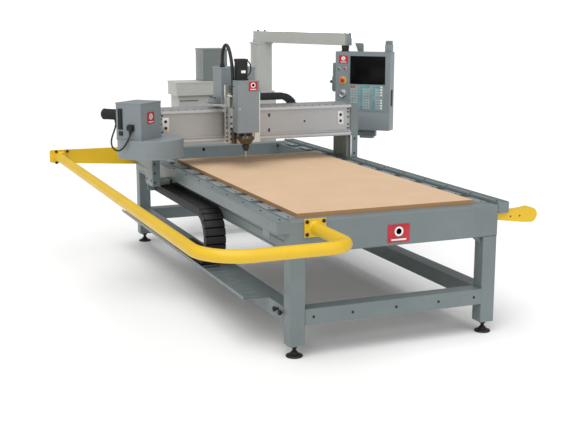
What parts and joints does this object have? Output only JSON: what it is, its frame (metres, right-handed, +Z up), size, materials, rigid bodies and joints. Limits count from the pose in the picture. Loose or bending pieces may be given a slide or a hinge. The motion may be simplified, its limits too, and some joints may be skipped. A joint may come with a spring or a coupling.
{
  "type": "cnc router",
  "caption": "Gantry sheet router: a steel table with a spoilboard, a travelling gantry and spindle head, a tool changer, a guard rail, a cabinet and a pendant on a boom.",
  "frame": {"origin": "bottom centre of the whole machine's box, on the floor", "axes": "+Z up, +Y from the front beam to the control cabinet, +X to the side handle"},
  "size_m": [2.8051, 4.5172, 1.864],
  "materials": {
    "frame_paint": "satin grey powder coat",
    "cover_paint": "satin grey powder coat",
    "cabinet_paint": "satin light grey paint",
    "yellow_paint": "glossy yellow paint",
    "raw_aluminium": "milled",
    "steel": "ground",
    "dark_steel": "black oxide",
    "particle_board": "sanded particle board",
    "black_plastic": "moulded black",
    "black_rubber": "matt",
    "bronze": "dark bronze",
    "screen_glass": "gloss black",
    "red_plastic": "moulded red",
    "green_plastic": "moulded green",
    "chrome_knob": "turned",
    "olive_metal": "satin olive grey"
  },
  "bodies": {
    "base": {"end_beams": "frame_paint", "side_beams": "frame_paint", "legs": "frame_paint", "lower_rails": "frame_paint", "levelling_feet": "dark_steel", "deck_cross_members": "frame_paint", "deck_slats": "frame_paint", "spoilboard": "particle_board", "left_rail_cover": "frame_paint", "right_rail_cover": "frame_paint", "y_linear_rails": "steel", "y_gear_racks": "steel", "guard_rail": "yellow_paint", "guard_mounts": "yellow_paint", "side_paddle": "yellow_paint", "frame_bolts": "dark_steel", "cable_tray": "frame_paint", "y_chain_lower_run": "black_plastic", "cabinet_body": "cabinet_paint", "resistor_box": "olive_metal", "boom_post": "cabinet_paint"},
    "cabinet_door": {"cabinet_door": "cabinet_paint"},
    "y_chain_bend": {"y_chain_bend": "black_plastic"},
    "gantry": {"gantry_beam": "raw_aluminium", "gantry_leg": "frame_paint", "drive_bracket": "frame_paint", "y_bearing_arms": "steel", "y_drive_motor": "olive_metal", "x_linear_rails": "steel", "x_chain_tray": "steel", "x_chain_lower_run": "black_plastic", "y_chain_upper_run": "black_plastic", "changer_drum_cover": "cover_paint", "changer_box": "cover_paint", "changer_motor": "black_plastic", "changer_connector": "black_plastic", "changer_cable": "black_rubber"},
    "y_pinion": {"y_pinion": "steel"},
    "x_chain_bend": {"x_chain_bend": "black_plastic"},
    "tool_carousel": {"tool_carousel": "steel"},
    "carriage": {"x_saddle": "raw_aluminium", "z_motor_cover": "cover_paint", "z_linear_rails": "steel", "x_chain_upper_run": "black_plastic"},
    "head": {"z_plate": "raw_aluminium", "head_cover": "cover_paint", "spindle_housing": "steel", "spindle_nose": "bronze", "spindle_motor": "black_plastic", "motor_conduit": "black_rubber"},
    "spindle": {"spindle_shaft": "dark_steel", "cutter": "steel"},
    "boom": {"boom_arm": "cabinet_paint"},
    "pendant": {"pendant_swivel": "dark_steel", "pendant_case": "cover_paint", "pendant_screen": "screen_glass"},
    "start_button": {"start_button": "green_plastic"},
    "hold_button": {"hold_button": "red_plastic"},
    "emergency_stop": {"emergency_stop": "red_plastic"},
    "jog_wheel": {"jog_wheel": "chrome_knob"}
  },
  "joints": [
    {"name": "gantry_travel", "type": "slide", "parent": "base", "child": "gantry", "axis": [0, 1, 0], "range_m": [-1.8, 0.62], "deforming": ["y_chain_lower_run", "y_chain_upper_run"]},
    {"name": "y_chain_roll", "type": "slide", "parent": "base", "child": "y_chain_bend", "axis": [0, 1, 0], "range_m": [-0.9, 0.31]},
    {"name": "y_pinion_turn", "type": "hinge", "parent": "gantry", "child": "y_pinion", "pos_m": [-0.69424, 0.44835, 0.7587], "axis": [1, 0, 0], "continuous": true},
    {"name": "carousel_turn", "type": "hinge", "parent": "gantry", "child": "tool_carousel", "pos_m": [-0.95424, 0.19835, 1.1], "axis": [0, 0, 1], "continuous": true},
    {"name": "carriage_travel", "type": "slide", "parent": "gantry", "child": "carriage", "axis": [1, 0, 0], "range_m": [-0.38, 0.85], "deforming": ["x_chain_lower_run", "x_chain_upper_run"]},
    {"name": "x_chain_roll", "type": "slide", "parent": "gantry", "child": "x_chain_bend", "axis": [1, 0, 0], "range_m": [-0.19, 0.425]},
    {"name": "head_lift", "type": "slide", "parent": "carriage", "child": "head", "axis": [0, 0, 1], "range_m": [-0.078, 0.2], "deforming": ["motor_conduit"]},
    {"name": "spindle_turn", "type": "hinge", "parent": "head", "child": "spindle", "pos_m": [-0.21324, 0.19835, 1.1], "axis": [0, 0, 1], "continuous": true},
    {"name": "boom_swing", "type": "hinge", "parent": "base", "child": "boom", "pos_m": [0.67576, 2.14835, 1.76], "axis": [0, 0, 1], "range_deg": [0, 75]},
    {"name": "pendant_swivel", "type": "hinge", "parent": "boom", "child": "pendant", "pos_m": [1.05776, 1.11035, 1.74], "axis": [0, 0, 1], "range_deg": [-30, 60]},
    {"name": "start_press", "type": "slide", "parent": "pendant", "child": "start_button", "axis": [0.7071, 0.7071, 0], "range_m": [0, 0.003], "stiffness_N_per_m": 600},
    {"name": "hold_press", "type": "slide", "parent": "pendant", "child": "hold_button", "axis": [0.7071, 0.7071, 0], "range_m": [0, 0.003], "stiffness_N_per_m": 600},
    {"name": "emergency_stop_press", "type": "slide", "parent": "pendant", "child": "emergency_stop", "axis": [0.7071, 0.7071, 0], "range_m": [0, 0.006], "stiffness_N_per_m": 600},
    {"name": "jog_wheel_turn", "type": "hinge", "parent": "pendant", "child": "jog_wheel", "pos_m": [1.01675, 1.06651, 1.327], "axis": [-0.7071, -0.7071, 0], "continuous": true},
    {"name": "cabinet_door_swing", "type": "hinge", "parent": "base", "child": "cabinet_door", "pos_m": [0.77076, 2.24835, 0.9], "axis": [0, 0, -1], "range_deg": [0, 110]}
  ],
  "couplings": [
    {"joint": "y_chain_roll", "follows": "gantry_travel", "ratio": 0.5},
    {"joint": "x_chain_roll", "follows": "carriage_travel", "ratio": 0.5},
    {"joint": "y_pinion_turn", "follows": "gantry_travel", "rad_per_m": 50}
  ]
}
